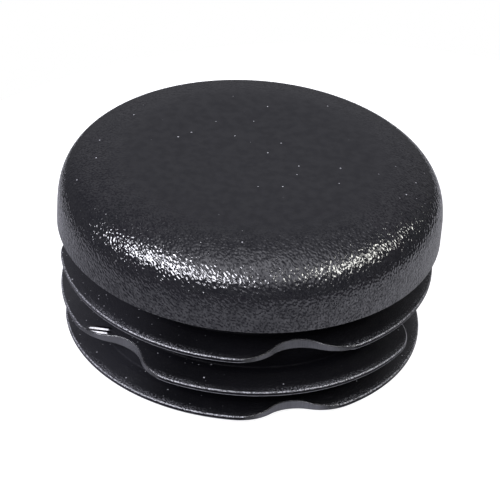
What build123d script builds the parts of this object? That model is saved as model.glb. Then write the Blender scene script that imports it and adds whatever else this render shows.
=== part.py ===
from build123d import *
from math import radians, tan
import os

# Round ribbed end cap for a steel tube, moulded in one piece: a head that covers the tube's end,
# and below it a hollow plug with three thin fins that grip the tube's bore.
# Millimetres, +Z up. The origin is the centre of the seat, the ring under the head that meets
# the tube's end: the head is above it, and the plug goes down into the tube.

# Tube that the cap closes
tube_diameter = 50.8  # outside diameter, flush with the head's skirt

# Head: a short straight skirt, then a shoulder that eases into the flat top with no step in curvature
skirt_height = 2.2
shoulder_rise = 8.4
shoulder_width = 14.0
shoulder_ease = 4.2  # how far the shoulder's curve keeps to the skirt and the top before it turns
skirt_edge_radius = 0.3  # the skirt's lower corner, just outside the seat

# Core of the plug
core_diameter = 40.0
core_wall = 1.8  # at the mouth
plug_length = 16.0
mouth_edge_radius = 0.2

# Cavity: open at the plug's end, drafted, closed by the head's top
top_thickness = 3.0
cavity_draft = 1.0  # degrees
cavity_corner_radius = 2.5

# Fins: thin rims on thicker roots; a depth is from the seat to the middle of the rim
upper_fin_diameter = 49.6
upper_fin_depth = 4.8
middle_fin_diameter = 49.2
middle_fin_depth = 10.0
lower_fin_diameter = 47.8
lower_fin_depth = 14.5
rim_thickness = 0.6
root_thickness = 1.8
rim_edge_radius = 0.2
root_fillet_radius = 0.25

# Notches: scallops in each fin, half a pitch round from those of the fins next to it
notch_count = 3
notch_floor_diameter = 42.6
notch_radius = 4.8
notch_corner_radius = 6.0
first_notch_angle = -71.5  # degrees from +X, on the upper fin

# Worked out from the sizes above
head_radius = tube_diameter / 2
head_height = skirt_height + shoulder_rise
core_radius = core_diameter / 2
mouth_radius = core_radius - core_wall
ceiling_height = head_height - top_thickness
ceiling_radius = mouth_radius - (plug_length + ceiling_height) * tan(radians(cavity_draft))
notch_pitch = 360 / notch_count
notch_floor_radius = notch_floor_diameter / 2
fins = [
    (upper_fin_diameter / 2, upper_fin_depth, first_notch_angle),
    (middle_fin_diameter / 2, middle_fin_depth, first_notch_angle + notch_pitch / 2),
    (lower_fin_diameter / 2, lower_fin_depth, first_notch_angle),
]


def head_section():
    """Half section of the head: flat seat, skirt, eased shoulder and flat top."""
    top_radius = head_radius - shoulder_width
    outline = Polyline((0, 0), (head_radius, 0), (head_radius, skirt_height))
    outline += Bezier(
        (head_radius, skirt_height),
        (head_radius, skirt_height + shoulder_ease),
        (head_radius, head_height),
        (top_radius + shoulder_ease, head_height),
        (top_radius, head_height),
    )
    outline += Polyline((top_radius, head_height), (0, head_height), (0, 0))
    section = make_face(outline)
    skirt_corner = section.vertices().group_by(Axis.Y)[0].sort_by(Axis.X)[-1]
    return fillet(skirt_corner, skirt_edge_radius)


def core_section():
    """Half section of the plug's core before it is hollowed."""
    return Pos(core_radius / 2, -plug_length / 2) * Rectangle(core_radius, plug_length)


def cavity_section():
    """Half section of the hollow: drafted wall, rounded ceiling corner."""
    mouth, ceiling = -plug_length, ceiling_height
    section = make_face(
        Polyline((0, mouth), (mouth_radius, mouth), (ceiling_radius, ceiling), (0, ceiling), close=True)
    )
    ceiling_corner = section.vertices().group_by(Axis.Y)[-1].sort_by(Axis.X)[-1]
    return fillet(ceiling_corner, cavity_corner_radius)


def shell():
    """Head and hollow core as one revolved wall, its mouth's edges rounded."""
    section = head_section() + core_section() - cavity_section()
    mouth_corners = section.vertices().group_by(Axis.Y)[0]
    return revolve(Plane.XZ * fillet(mouth_corners, mouth_edge_radius), Axis.Z)


def tapered_disc(fin_radius, depth):
    """A disc as thick as the root at the core, still thinning where it passes the fin's rim."""
    taper = (root_thickness - rim_thickness) / (fin_radius - core_radius)
    tip_thickness = rim_thickness / 2
    tip_radius = fin_radius + (rim_thickness - tip_thickness) / taper
    buried_radius = core_radius - core_wall / 2
    upper_face = Polyline(
        (buried_radius, root_thickness / 2),
        (core_radius, root_thickness / 2),
        (tip_radius, tip_thickness / 2),
    )
    lower_face = mirror(upper_face, Plane.XZ)
    tip = Line(upper_face @ 1, lower_face @ 1)
    inside = Line(upper_face @ 0, lower_face @ 0)
    section = Pos(0, -depth) * make_face(upper_face + tip + lower_face + inside)
    return revolve(Plane.XZ * section, Axis.Z)


def scalloped_outline(fin_radius, first_angle):
    """Plan of a fin: a circle with scallops cut in it, and their corners rounded over."""
    scallop = Pos(notch_floor_radius + notch_radius, 0) * Circle(notch_radius)
    outline = Circle(fin_radius)
    for k in range(notch_count):
        outline -= Rot(0, 0, first_angle + k * notch_pitch) * scallop
    return fillet(outline.vertices(), notch_corner_radius)


def runs_round_rim(edge):
    """Whether an edge of a fin follows its outline, above or below the rim."""
    nearest = min(Vector(point.X, point.Y).length for point in (edge @ 0, edge @ 0.5, edge @ 1))
    level = abs((edge % 0.5).Z) < 0.5
    return level and nearest > notch_floor_radius - rim_edge_radius


def fin(fin_radius, depth, first_angle):
    """One flexible fin: tapered in section, scalloped in plan, the edges of its rim rounded."""
    outline = Pos(0, 0, -depth) * scalloped_outline(fin_radius, first_angle)
    blade = tapered_disc(fin_radius, depth) & extrude(outline, root_thickness, both=True)
    return fillet(blade.edges().filter_by(runs_round_rim), rim_edge_radius)


def is_root(edge):
    """Whether an edge is an inside corner on the core's wall, under the head or beside a fin."""
    on_wall = edge.geom_type == GeomType.CIRCLE and abs(edge.radius - core_radius) < 0.01
    return on_wall and edge.arc_center.Z > -plug_length + 1.5 * mouth_edge_radius


def end_cap():
    """The whole moulding: the shell and its fins, with a small fillet at every root."""
    cap = shell()
    for fin_radius, depth, first_angle in fins:
        cap += fin(fin_radius, depth, first_angle)
    return fillet(cap.edges().filter_by(is_root), root_fillet_radius)


os.makedirs("parts", exist_ok=True)
export_step(end_cap(), "parts/end_cap.step")
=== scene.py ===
# Round ribbed end cap for a steel tube, in black moulded polyethylene, on a white table.
# Metres, +Z up, in the frame of the CAD model: the origin is the centre of the seat under the
# head, the head is above it and the plug hangs below. Sizes in millimetres are named _mm.
import math
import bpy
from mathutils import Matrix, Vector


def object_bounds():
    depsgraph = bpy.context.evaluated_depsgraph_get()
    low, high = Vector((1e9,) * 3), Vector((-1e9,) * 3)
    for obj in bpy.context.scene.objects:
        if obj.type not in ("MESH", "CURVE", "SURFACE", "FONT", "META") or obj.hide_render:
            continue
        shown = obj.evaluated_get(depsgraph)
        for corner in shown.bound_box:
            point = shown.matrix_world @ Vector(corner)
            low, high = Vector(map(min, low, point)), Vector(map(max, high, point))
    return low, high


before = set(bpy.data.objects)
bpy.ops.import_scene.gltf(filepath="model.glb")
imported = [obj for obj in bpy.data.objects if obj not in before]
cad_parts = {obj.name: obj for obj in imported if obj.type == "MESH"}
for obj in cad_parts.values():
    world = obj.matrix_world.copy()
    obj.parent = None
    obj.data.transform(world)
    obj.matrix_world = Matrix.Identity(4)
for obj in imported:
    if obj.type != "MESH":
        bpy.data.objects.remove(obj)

from types import SimpleNamespace

import bmesh
import bpy
from mathutils import Matrix, Vector

MM = 0.001

cad_low, cad_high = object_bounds()
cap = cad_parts["end_cap"]


# Nodes and colours

# Settings that many nodes share
times = {"operation": "MULTIPLY"}
over = {"operation": "GREATER_THAN"}
eased = {"interpolation_type": "SMOOTHSTEP"}
blended = {"data_type": "RGBA"}


def linear(hex_colour):
    """An sRGB colour such as "1c1c1e" as the linear red, green, blue and alpha that sockets take."""
    channels = [int(hex_colour[i:i + 2], 16) / 255 for i in (0, 2, 4)]
    curve = [c / 12.92 if c <= 0.04045 else ((c + 0.055) / 1.055) ** 2.4 for c in channels]
    return (*curve, 1.0)


def add(tree, kind, inputs=(), **settings):
    """Adds a node with its settings and links.

    inputs are for its sockets in order, or by place or name in a dict. Each one is a value, an
    output to link, or a node, which stands for its first output.
    """
    node = tree.nodes.new("ShaderNode" + kind)
    for name, value in settings.items():
        setattr(node, name, value)
    by_socket = inputs if isinstance(inputs, dict) else dict(enumerate(inputs))
    for socket, value in by_socket.items():
        if isinstance(value, bpy.types.Node):
            value = value.outputs[0]
        if isinstance(value, bpy.types.NodeSocket):
            tree.links.new(value, node.inputs[socket])
        else:
            node.inputs[socket].default_value = value
    return node


def new_material(name):
    """An empty node material and its tree."""
    material = bpy.data.materials.new(name)
    material.use_nodes = True
    material.node_tree.nodes.clear()
    return material, material.node_tree


# Black LDPE, zone by zone. A depth is the height of the surface from its lowest to its highest.
# A pair says where something begins and where it is full: at which radius or place in
# millimetres, at which value of a noise from 0 to 1, or at which tilt. A tilt is the Z of a
# face's normal: 1 on a level top, 0 on an upright wall, -1 on an underside.

# Places on the moulding
above_seat_mm = 0.02
above_ceiling_mm = 8.0  # higher than the cavity reaches
inside_wall_mm = 19.0  # a radius between the cavity and the outside of the core
outside_core_mm = 20.0
blade_mm = (20.6, 21.0)  # a fin's blade, past the fillet at its root
rim_radii_mm = (24.8, 24.6, 23.9)  # from the head down
between_fins_mm = (-7.4, -12.2)  # heights, from the head down
upright_tilt = (0.5, 0.2)

# Leather grain of the head, from the spark-eroded cavity of the mould. It begins round the flat
# top and is full on the shoulder. Its peel and pits are drawn out along one slanting run.
grain_mm = (14.5, 20.5)
grain_run = (0.55, -0.45, -0.7)
grain_stretch = 1.6
peel_pitch_mm = 0.3
peel_depth_mm = 0.1
pit_pitch_mm = 0.34
pit_radius_mm = 0.13
pit_depth_mm = 0.032
valley_pitch_mm = 0.24
valley_noise = (0.54, 0.4)
valley_share = 0.7  # how far a valley is as dull as a pit
pit_shine = 0.15  # in a pit, as a share of the gloss beside it
grain_gloss = 1.33  # the crests' gloss, against the flat top's
head_roughness = 0.12

# Matte skin of the plug, from the dull side of the mould, with the marks of drawing it out. In
# the real moulding both are finer than this, and they are drawn as coarse as they need to show.
matte_pitch_mm = 0.2
matte_depth_mm = 0.09
matte_roughness = 0.27
draw_mark_pitch_mm = 0.12
draw_mark_length_mm = 2.5
draw_mark_depth_mm = 0.006

# Painted light on the upper faces of the fins: grey specks near the rim that stand for its lit
# band, more at both sides than in the middle, less at the far right and not at all at the far left
lit_band_width_mm = 1.15
lit_band_tilt = (0.4, 0.8)
lit_speck_mm = 0.14
lit_speck_noise = (0.49, 0.72)
lit_sides_mm = (1.0, 11.0)
middle_light = 0.12
lit_left_mm = (-22.0, -16.0)
right_dimming_mm = (8.0, 20.0)
right_light = 0.4

# Painted light on the rims' edges: highlight specks along the upper one, an even reflection along the
# lower one
upper_edge_mm = (0.22, 0.1)
upper_edge_tilt = (0.15, 0.45)
upper_edge_noise = (0.4, 0.65)
lower_edge_mm = (0.25, 0.15)
lower_edge_tilt = (-0.1, -0.4)
lower_edge_reflection = 0.7

# Notches: painted highlights on their upper edges on the right, and painted reflections in streaks
# on their walls, paler on the lowest fin
notch_edge_mm = (0.1, 0.3)
notch_edge_right_mm = (14.0, 19.0)
notch_edge_tilt = (0.2, 0.5)
notch_edge_not_flat = (0.95, 0.85)
notch_edge_highlight = 0.6
notch_wall_mm = (0.2, 1.2)
streak_noise = (0.2, 0.6)
weakest_streak = 0.75

# Rim faces and the recess round the core are duller than the open skin
rim_face_mm = (0.2, 0.05)
rim_face_tilt = (0.6, 0.3)
rim_face_shine = 0.15
recess_mm = (21.6, 20.6)
recess_shine = 0.04

# Two short folds pressed side by side in the middle fin, beside a notch, smooth and shiny
folds_middle_mm = (-18.4, -13.55, -9.4)
folds_run = (0.98, -0.2, 0)
folds_side = (-0.2, -0.98, 0)
folds_half_length_mm = 1.8
folds_full = 0.6  # the share of that length over which they stand full
folds_half_width_mm = 0.72
folds_rise_mm = (0.6, 0.4)  # up or down from their middle
fold_slope = 1.1
fold_skin = 0.35  # the share of the matte skin that is left on them
fold_roughness = 0.12

# Satin waves and mottled gloss of the whole skin. A gloss is a Specular IOR Level, of which
# 0.5 is plain. The IOR is above LDPE's 1.51, which leaves this skin too dull in a plain light.
satin_pitch_mm = 0.3
satin_depth_mm = 0.003
mottle_pitch_mm = 1.3
mottle_noise = (0.3, 0.7)
mottle_gloss = (0.47, 0.76)
gloss_ior = 1.75

# Painted sheen that pales the plug's black on the left, and dust on upward faces. Coarse dust lies
# all over, fine dust on the plug's left.
painted_sheen_mm = (-6.5, -18.0)
dust_pitch_mm = 2.0
dust_radius_mm = 0.13
fine_dust_pitch_mm = 0.8
fine_dust_radius_mm = 0.08
fine_dust_mm = (0.0, -10.0)
dust_solid = 0.5  # the share of a speck's radius that is solid
dust_tilt = (0.3, 0.8)

# Colours
head_black = linear("1a1a1e")
plug_black = linear("0e0e11")
# Painted sheen on the plug's left
painted_sheen_black = linear("27272b")
# Painted light along the rims of the fins
painted_light_grey = linear("b0b0b6")
# Painted reflections on the notch walls, paler on the lowest fin
wall_reflection_grey = linear("4c4c50")
lowest_wall_reflection_grey = linear("5c5c62")
dust_grey = linear("dadae0")


def surface(tree):
    """Where a point of the cap lies, in millimetres, how its face is tilted, and its zone."""
    place = add(tree, "TexCoord").outputs["Object"]
    mm = add(tree, "VectorMath", {0: place, "Scale": 1 / MM}, operation="SCALE")
    axes = add(tree, "SeparateXYZ", [mm])
    x = axes.outputs["X"]
    z = axes.outputs["Z"]
    flat = add(tree, "VectorMath", [mm, (1, 1, 0)], **times)
    radius = add(tree, "VectorMath", [flat], operation="LENGTH").outputs["Value"]
    normal = add(tree, "NewGeometry").outputs["Normal"]
    tilt = add(tree, "SeparateXYZ", [normal]).outputs["Z"]
    either_tilt = add(tree, "Math", [tilt], operation="ABSOLUTE")
    upright = add(tree, "MapRange", [either_tilt, *upright_tilt], **eased)

    on_crown = add(tree, "Math", [z, above_ceiling_mm], **over)
    above_seat = add(tree, "Math", [z, above_seat_mm], **over)
    outside_core = add(tree, "Math", [radius, outside_core_mm], **over)
    on_skirt = add(tree, "Math", [above_seat, outside_core], **times)
    on_head = add(tree, "Math", [on_crown, on_skirt], operation="MAXIMUM")
    on_plug = add(tree, "Math", [1.0, on_head], operation="SUBTRACT")
    past_flat_top = add(tree, "MapRange", [radius, *grain_mm], **eased)
    grained = add(tree, "Math", [on_head, past_flat_top], **times)

    upper, middle, lower = rim_radii_mm
    below_upper, below_middle = between_fins_mm
    over_lowest = add(tree, "Math", [z, below_middle], **over)
    over_middle = add(tree, "Math", [z, below_upper], **over)
    lower_rims = add(tree, "Math", [over_lowest, middle - lower, lower], operation="MULTIPLY_ADD")
    rim = add(tree, "Math", [over_middle, upper - middle, lower_rims], operation="MULTIPLY_ADD")
    from_rim = add(tree, "Math", [rim, radius], operation="SUBTRACT")
    on_lowest = add(tree, "Math", [z, below_middle], operation="LESS_THAN")

    return SimpleNamespace(
        mm=mm, x=x, radius=radius, from_rim=from_rim, tilt=tilt, either_tilt=either_tilt,
        upright=upright, grained=grained, on_plug=on_plug, on_lowest=on_lowest,
    )


def leather_grain(tree, at):
    """The head's grain: its height, and how far a point is down in a pit or a valley."""
    lengthwise = add(tree, "VectorMath", [at.mm, grain_run], operation="DOT_PRODUCT").outputs["Value"]
    shortening = add(tree, "Math", [lengthwise, 1 / grain_stretch - 1], **times)
    shortened = add(tree, "VectorMath", {0: grain_run, "Scale": shortening}, operation="SCALE")
    leaning = add(tree, "VectorMath", [at.mm, shortened], operation="ADD")

    peel_noise = {"Vector": leaning, "Scale": 1 / peel_pitch_mm, "Detail": 0.0}
    peel = add(tree, "Math", [add(tree, "TexNoise", peel_noise), peel_depth_mm], **times)
    pit_cells = {"Vector": leaning, "Scale": 1 / pit_pitch_mm}
    from_pit = add(tree, "TexVoronoi", pit_cells).outputs["Distance"]
    pit_edge = pit_radius_mm / pit_pitch_mm
    beside_pit = add(tree, "MapRange", [from_pit, 0.0, pit_edge], **eased)
    pits = add(tree, "Math", [beside_pit, pit_depth_mm], **times)
    both = add(tree, "Math", [peel, pits], operation="ADD")
    height = add(tree, "Math", [both, at.grained], **times)

    low_noise = {"Vector": leaning, "Scale": 1 / valley_pitch_mm, "Detail": 1.0}
    valleys = [add(tree, "TexNoise", low_noise), *valley_noise, 0.0, valley_share]
    in_valley = add(tree, "MapRange", valleys, **eased)
    in_pit = add(tree, "MapRange", [from_pit, pit_edge, 0.0], **eased)
    deepest = add(tree, "Math", [in_pit, in_valley], operation="MAXIMUM")
    hollow = add(tree, "Math", [deepest, at.grained], **times)
    return height, hollow


def pressed_folds(tree, at):
    """The two folds in the middle fin: their height, and where they are."""
    from_middle = add(tree, "VectorMath", [at.mm, folds_middle_mm], operation="SUBTRACT")

    def offset(way):
        return add(tree, "VectorMath", [from_middle, way], operation="DOT_PRODUCT").outputs["Value"]

    along = add(tree, "Math", [offset(folds_run)], operation="ABSOLUTE")
    length = [along, folds_half_length_mm, folds_full * folds_half_length_mm]
    within_length = add(tree, "MapRange", length, **eased)
    sideways = offset(folds_side)
    across = add(tree, "Math", [sideways], operation="ABSOLUTE")
    within_width = add(tree, "Math", [across, folds_half_width_mm], operation="LESS_THAN")
    rise = add(tree, "Math", [offset((0, 0, 1))], operation="ABSOLUTE")
    on_fin = add(tree, "MapRange", [rise, *folds_rise_mm], **eased)
    patch = add(tree, "Math", [within_length, within_width], **times)
    skin = add(tree, "Math", [on_fin, at.on_plug], **times)
    folded = add(tree, "Math", [patch, skin], **times)

    from_side = add(tree, "Math", [sideways, folds_half_width_mm], operation="ADD")
    ramps = add(tree, "Math", [from_side, folds_half_width_mm / 2], operation="PINGPONG")
    raised = add(tree, "Math", [ramps, folded], **times)
    height = add(tree, "Math", [raised, fold_slope], **times)
    return height, folded


def dust(tree, at, pitch_mm, radius_mm):
    """Specks of dust, one in each cell of that pitch at most, on faces that look up."""
    cell = add(tree, "TexVoronoi", {"Vector": at.mm, "Scale": 1 / pitch_mm})
    edge = radius_mm / pitch_mm
    speck = add(tree, "MapRange", [cell.outputs["Distance"], edge, dust_solid * edge], **eased)
    luck = add(tree, "SeparateXYZ", [cell.outputs["Color"]]).outputs["X"]
    lucky_speck = add(tree, "Math", [speck, luck], **times)
    facing_up = add(tree, "MapRange", [at.tilt, *dust_tilt], **eased)
    return add(tree, "Math", [lucky_speck, facing_up], **times)


def settled_dust(tree, at):
    """Coarse dust all over, and fine dust on the plug's left."""
    coarse = dust(tree, at, dust_pitch_mm, dust_radius_mm)
    on_left = add(tree, "MapRange", [at.x, *fine_dust_mm], **eased)
    dusty_side = add(tree, "Math", [at.on_plug, on_left], **times)
    fine = dust(tree, at, fine_dust_pitch_mm, fine_dust_radius_mm)
    fine_on_left = add(tree, "Math", [fine, dusty_side], **times)
    return add(tree, "Math", [coarse, fine_on_left], operation="MAXIMUM")


def painted_rim_light(tree, at):
    """Painted light in grey on the upper faces of the fins and along the edges of their rims."""
    speckle = add(tree, "TexNoise", {"Vector": at.mm, "Scale": 1 / lit_speck_mm, "Detail": 1.0})

    beside_rim = add(tree, "MapRange", [at.from_rim, lit_band_width_mm, 0.0], **eased)
    facing_up = add(tree, "MapRange", [at.tilt, *lit_band_tilt], **eased)
    near_rim = add(tree, "Math", [beside_rim, facing_up], **times)
    sideways = add(tree, "Math", [at.x], operation="ABSOLUTE")
    both_sides = add(tree, "MapRange", [sideways, *lit_sides_mm, middle_light], **eased)
    left = add(tree, "MapRange", [at.x, *lit_left_mm], **eased)
    right = add(tree, "MapRange", [at.x, *right_dimming_mm, 1.0, right_light], **eased)
    left_and_right = add(tree, "Math", [left, right], **times)
    sides = add(tree, "Math", [both_sides, left_and_right], **times)
    painted_lit_sides = add(tree, "Math", [sides, at.on_plug], **times)
    specks = add(tree, "MapRange", [speckle, *lit_speck_noise], **eased)
    speckled_rim = add(tree, "Math", [near_rim, specks], **times)
    painted_lit_band = add(tree, "Math", [speckled_rim, painted_lit_sides], **times)

    by_upper = add(tree, "MapRange", [at.from_rim, *upper_edge_mm], **eased)
    upper_bend = add(tree, "MapRange", [at.tilt, *upper_edge_tilt], **eased)
    upper_edge = add(tree, "Math", [by_upper, upper_bend], **times)
    edge_specks = add(tree, "MapRange", [speckle, *upper_edge_noise], **eased)
    speckled_edge = add(tree, "Math", [upper_edge, edge_specks], **times)

    by_lower = add(tree, "MapRange", [at.from_rim, *lower_edge_mm], **eased)
    lower_bend = add(tree, "MapRange", [at.tilt, *lower_edge_tilt, 0.0, lower_edge_reflection], **eased)
    lower_edge = add(tree, "Math", [by_lower, lower_bend], **times)

    on_blade = add(tree, "MapRange", [at.radius, *blade_mm], **eased)
    behind_rim = add(tree, "MapRange", [at.from_rim, *notch_edge_mm], **eased)
    in_notch = add(tree, "Math", [on_blade, behind_rim], **times)
    notch_right = add(tree, "MapRange", [at.x, *notch_edge_right_mm], **eased)
    right_notch = add(tree, "Math", [in_notch, notch_right], **times)
    notch_bend = add(tree, "MapRange", [at.tilt, *notch_edge_tilt], **eased)
    bent_notch = add(tree, "Math", [right_notch, notch_bend], **times)
    not_flat = add(tree, "MapRange", [at.tilt, *notch_edge_not_flat, 0.0, notch_edge_highlight], **eased)
    notch_edge = add(tree, "Math", [bent_notch, not_flat], **times)

    rim_edges = add(tree, "Math", [speckled_edge, lower_edge], operation="MAXIMUM")
    edges = add(tree, "Math", [rim_edges, notch_edge], operation="MAXIMUM")
    painted_edge_light = add(tree, "Math", [edges, at.on_plug], **times)
    return add(tree, "Math", [painted_lit_band, painted_edge_light], operation="MAXIMUM")


def painted_wall_reflection(tree, at, draw_marks):
    """Painted reflection in grey along the upright walls of the notches, in the streaks of the draw
    marks.
    """
    on_blade = add(tree, "MapRange", [at.radius, *blade_mm], **eased)
    behind_rim = add(tree, "MapRange", [at.from_rim, *notch_wall_mm], **eased)
    in_notch = add(tree, "Math", [on_blade, behind_rim], **times)
    upright_wall = add(tree, "Math", [at.upright, in_notch], **times)
    wall = add(tree, "Math", [upright_wall, at.on_plug], **times)
    streaks = add(tree, "MapRange", [draw_marks, *streak_noise, weakest_streak, 1.0], **eased)
    return add(tree, "Math", [wall, streaks], **times)


def skin_gloss(tree, at, hollow):
    """Mottled gloss, strong on the grain's crests, weak in its hollows, on rims and in the recess."""
    mottle_clouds = {"Vector": at.mm, "Scale": 1 / mottle_pitch_mm, "Detail": 5.0}
    clouds = [add(tree, "TexNoise", mottle_clouds), *mottle_noise, *mottle_gloss]
    mottle = add(tree, "MapRange", clouds, **eased)
    crests = add(tree, "MapRange", [at.grained, 0.0, 1.0, 1.0, grain_gloss], **eased)
    crest_shine = add(tree, "Math", [mottle, crests], **times)
    hollows = add(tree, "MapRange", [hollow, 0.0, 1.0, 1.0, pit_shine], **eased)
    open_shine = add(tree, "Math", [crest_shine, hollows], **times)

    by_rim = add(tree, "MapRange", [at.from_rim, *rim_face_mm], **eased)
    facing_out = add(tree, "MapRange", [at.either_tilt, *rim_face_tilt], **eased)
    rim_face = add(tree, "Math", [by_rim, facing_out], **times)
    fin_rim = add(tree, "Math", [rim_face, at.on_plug], **times)
    rim_shine = add(tree, "MapRange", [fin_rim, 0.0, 1.0, 1.0, rim_face_shine], **eased)
    outer_shine = add(tree, "Math", [open_shine, rim_shine], **times)

    close_to_core = add(tree, "MapRange", [at.radius, *recess_mm], **eased)
    past_cavity = add(tree, "Math", [at.radius, inside_wall_mm], **over)
    round_core = add(tree, "Math", [close_to_core, past_cavity], **times)
    recess = add(tree, "Math", [round_core, at.on_plug], **times)
    deep_shine = add(tree, "MapRange", [recess, 0.0, 1.0, 1.0, recess_shine], **eased)
    return add(tree, "Math", [outer_shine, deep_shine], **times)


def moulded_ldpe():
    """Black low-density polyethylene, injection moulded.

    Soft and waxy: a deep black under a satin gloss. The head's leather grain breaks each light up
    into leaning strokes of sparkle, between dull pits and valleys. The plug below is matte, with
    fine draw marks, painted light in grey along its rims, painted reflections on its notch walls and
    a painted sheen on its left.
    """
    material, tree = new_material("moulded_ldpe_leather_grain")
    at = surface(tree)

    grain, hollow = leather_grain(tree, at)
    satin_noise = {"Vector": at.mm, "Scale": 1 / satin_pitch_mm, "Detail": 1.0}
    satin = add(tree, "Math", [add(tree, "TexNoise", satin_noise), satin_depth_mm], **times)
    head_skin = add(tree, "Math", [grain, satin], operation="ADD")

    folds, folded = pressed_folds(tree, at)
    matte_noise = {"Vector": at.mm, "Scale": 1 / matte_pitch_mm, "Detail": 2.0}
    matte = add(tree, "Math", [add(tree, "TexNoise", matte_noise), matte_depth_mm], **times)
    drawn_out = (1, 1, draw_mark_pitch_mm / draw_mark_length_mm)
    stretched = add(tree, "VectorMath", [at.mm, drawn_out], **times)
    mark_noise = {"Vector": stretched, "Scale": 1 / draw_mark_pitch_mm, "Detail": 1.0}
    draw_marks = add(tree, "TexNoise", mark_noise)
    draws = add(tree, "Math", [draw_marks, draw_mark_depth_mm], **times)
    upright_draws = add(tree, "Math", [draws, at.upright], **times)
    rough_skin = add(tree, "Math", [matte, upright_draws], operation="ADD")
    unfolded = add(tree, "MapRange", [folded, 0.0, 1.0, at.on_plug, fold_skin], **eased)
    plug_skin = add(tree, "Math", [rough_skin, unfolded, folds], operation="MULTIPLY_ADD")
    height = add(tree, "Math", [head_skin, plug_skin], operation="ADD")
    bump = add(tree, "Bump", {"Height": height, "Distance": MM})

    # Painted sheen: the plug's black is paler towards the left
    painted_sheen_mask = add(tree, "MapRange", [at.x, *painted_sheen_mm], **eased)
    plug_colour = add(tree, "Mix", {0: painted_sheen_mask, 6: plug_black, 7: painted_sheen_black}, **blended).outputs[2]
    black = add(tree, "Mix", {0: at.on_plug, 6: head_black, 7: plug_colour}, **blended).outputs[2]
    # Painted light in grey along the rims of the fins
    painted_light_mask = painted_rim_light(tree, at)
    with_painted_light = add(tree, "Mix", {0: painted_light_mask, 6: black, 7: painted_light_grey}, **blended).outputs[2]
    # Painted reflections on the notch walls, paler on the lowest fin
    wall_reflection_greys = {0: at.on_lowest, 6: wall_reflection_grey, 7: lowest_wall_reflection_grey}
    wall_reflection_colour = add(tree, "Mix", wall_reflection_greys, **blended).outputs[2]
    wall_reflection_mask = painted_wall_reflection(tree, at, draw_marks)
    with_wall_reflection = add(tree, "Mix", {0: wall_reflection_mask, 6: with_painted_light, 7: wall_reflection_colour}, **blended).outputs[2]
    settled = settled_dust(tree, at)
    colour = add(tree, "Mix", {0: settled, 6: with_wall_reflection, 7: dust_grey}, **blended).outputs[2]

    zones = [at.on_plug, 0.0, 1.0, head_roughness, matte_roughness]
    zone_roughness = add(tree, "MapRange", zones, **eased)
    roughness = add(tree, "MapRange", [folded, 0.0, 1.0, zone_roughness, fold_roughness], **eased)
    finish = {
        "Base Color": colour,
        "Roughness": roughness,
        "IOR": gloss_ior,
        "Specular IOR Level": skin_gloss(tree, at, hollow),
        "Normal": bump,
    }
    add(tree, "OutputMaterial", {"Surface": add(tree, "BsdfPrincipled", finish)})
    return material


cap.data.materials.clear()
cap.data.materials.append(moulded_ldpe())


# Table

table_radius = 0.08
table_centre_x = 0.02
# Painted light: the paper is paler towards the back and the right, as if lit more brightly there
painted_light_way = (0.5, 1, 0)
painted_light_between = (-0.05, 0.03)
paper_front = linear("929296")
paper_back = linear("cdcdd1")
paper_lift = 0.885  # added for the camera alone, to bring the lit paper up to white
white = linear("ffffff")


def white_table():
    """Matte paper, white to the camera, with the cap's shadow on it.

    To the cap it is grey, with painted light that makes it paler towards the back. From below it is
    clear, so that the plug's mouth can be looked into.
    """
    material, tree = new_material("white_table")
    place = add(tree, "TexCoord").outputs["Object"]
    along = add(tree, "VectorMath", [place, painted_light_way], operation="DOT_PRODUCT").outputs["Value"]
    paler = add(tree, "MapRange", [along, *painted_light_between])
    shades = {0: paler, 6: paper_front, 7: paper_back}
    shade = add(tree, "Mix", shades, **blended).outputs[2]
    paper = add(tree, "BsdfDiffuse", {"Color": shade})
    camera_ray = add(tree, "LightPath").outputs["Is Camera Ray"]
    lift = add(tree, "Math", [camera_ray, paper_lift], **times)
    glow = add(tree, "Emission", {"Color": white, "Strength": lift})
    lit = add(tree, "AddShader", [paper, glow])
    clear = add(tree, "BsdfTransparent")
    underneath = add(tree, "NewGeometry").outputs["Backfacing"]
    shown = add(tree, "MixShader", [underneath, lit, clear])
    add(tree, "OutputMaterial", {"Surface": shown})
    return material


def table():
    """A round table top under the plug's mouth."""
    mesh = bpy.data.meshes.new("table")
    bm = bmesh.new()
    bmesh.ops.create_circle(bm, cap_ends=True, segments=96, radius=table_radius)
    bmesh.ops.translate(bm, vec=(table_centre_x, 0, cad_low.z), verts=bm.verts)
    bm.to_mesh(mesh)
    bm.free()
    mesh.materials.append(white_table())
    piece = bpy.data.objects.new("table", mesh)
    bpy.context.scene.collection.objects.link(piece)


# Light: azimuths and elevations in degrees, sizes and distances in metres. A radiance is how
# bright a mirror would show the light, where 1 is white.

cool_white = linear("f6f6ff")
warm_white = linear("fffff8")
room_radiance = 0.1
lamp_distance = 0.6
cavity_lamp_drop = 0.0159  # from the seat down to just inside the plug's mouth


def direction(azimuth, elevation):
    """Unit vector towards a place round the cap: azimuth 0 is -Y, 90 is +X."""
    a = math.radians(azimuth)
    e = math.radians(elevation)
    return Vector((math.sin(a) * math.cos(e), -math.cos(a) * math.cos(e), math.sin(e)))


def softbox(name, azimuth, elevation, width, height, radiance, colour, distance=lamp_distance):
    """A flat lamp that faces the cap."""
    lamp = bpy.data.lights.new(name, "AREA")
    lamp.shape = "RECTANGLE"
    lamp.size = width
    lamp.size_y = height
    lamp.energy = radiance * math.pi * width * height
    lamp.color = colour[:3]
    light = bpy.data.objects.new(name, lamp)
    away = direction(azimuth, elevation)
    light.location = away * distance
    light.rotation_mode = "QUATERNION"
    light.rotation_quaternion = away.to_track_quat("Z", "Y")
    bpy.context.scene.collection.objects.link(light)


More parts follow.
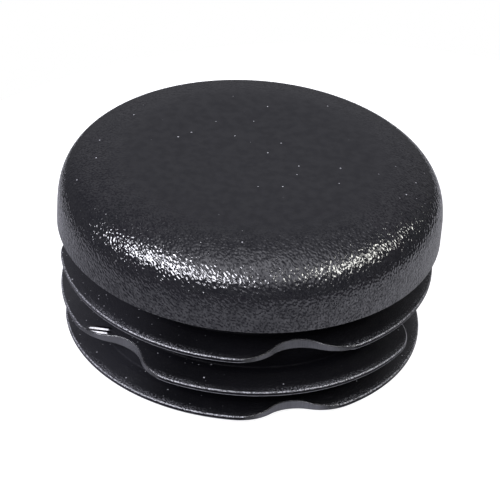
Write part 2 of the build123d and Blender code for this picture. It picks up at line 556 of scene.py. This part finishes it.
def room():
    """White to the camera. To the cap a dim room, lit softly from high in front and low behind."""
    world = bpy.data.worlds.new("room")
    world.use_nodes = True
    tree = world.node_tree
    tree.nodes.clear()
    towards = add(tree, "TexCoord").outputs["Generated"]

    def soft_light(azimuth, elevation, reach, radiance):
        facing = [towards, direction(azimuth, elevation)]
        cosine = add(tree, "VectorMath", facing, operation="DOT_PRODUCT").outputs["Value"]
        lobe = [cosine, math.cos(math.radians(reach)), 1.0, 0.0, radiance]
        return add(tree, "MapRange", lobe, interpolation_type="SMOOTHERSTEP")

    high_front = soft_light(azimuth=12, elevation=62, reach=55, radiance=0.9)
    low_back = soft_light(azimuth=180, elevation=35, reach=60, radiance=0.13)
    both = add(tree, "Math", [high_front, low_back], operation="ADD")
    level = add(tree, "Math", [both, room_radiance], operation="ADD")
    dim = add(tree, "Background", {"Color": cool_white, "Strength": level})
    bright = add(tree, "Background", {"Color": white, "Strength": 1.0})
    camera_ray = add(tree, "LightPath").outputs["Is Camera Ray"]
    seen = add(tree, "MixShader", [camera_ray, dim, bright])
    add(tree, "OutputWorld", {"Surface": seen})
    bpy.context.scene.world = world


table()
room()
softbox(
    "left_key", azimuth=-66, elevation=38, width=0.12, height=0.08,
    radiance=14, colour=cool_white,
)
softbox(
    "left_softbox", azimuth=-44, elevation=33.5, width=0.66, height=0.16,
    radiance=13, colour=cool_white,
)
softbox(
    "right_softbox", azimuth=77, elevation=41, width=0.46, height=0.09,
    radiance=9.5, colour=warm_white,
)

# The core closes this lamp in, so it lights the cavity alone
softbox(
    "cavity_light", azimuth=0, elevation=-90, width=0.025, height=0.025,
    radiance=1, colour=white, distance=cavity_lamp_drop,
)


# Camera

camera_elevation = 32.95
camera_roll = 4.233
camera_distance = 0.3387
camera_aim = Vector((0.0004, -0.0019, -0.0031))
lens_mm = 184.1
sensor_mm = 36

lens = bpy.data.cameras.new("camera")
lens.lens = lens_mm
lens.sensor_width = sensor_mm
camera = bpy.data.objects.new("camera", lens)
camera_place = direction(0, camera_elevation) * camera_distance
looking = (camera_aim - camera_place).to_track_quat("-Z", "Y").to_matrix().to_4x4()
rolled = looking @ Matrix.Rotation(math.radians(camera_roll), 4, "Z")
camera.matrix_world = Matrix.Translation(camera_place) @ rolled
bpy.context.scene.collection.objects.link(camera)
bpy.context.scene.camera = camera
bpy.context.scene.view_settings.view_transform = "Standard"
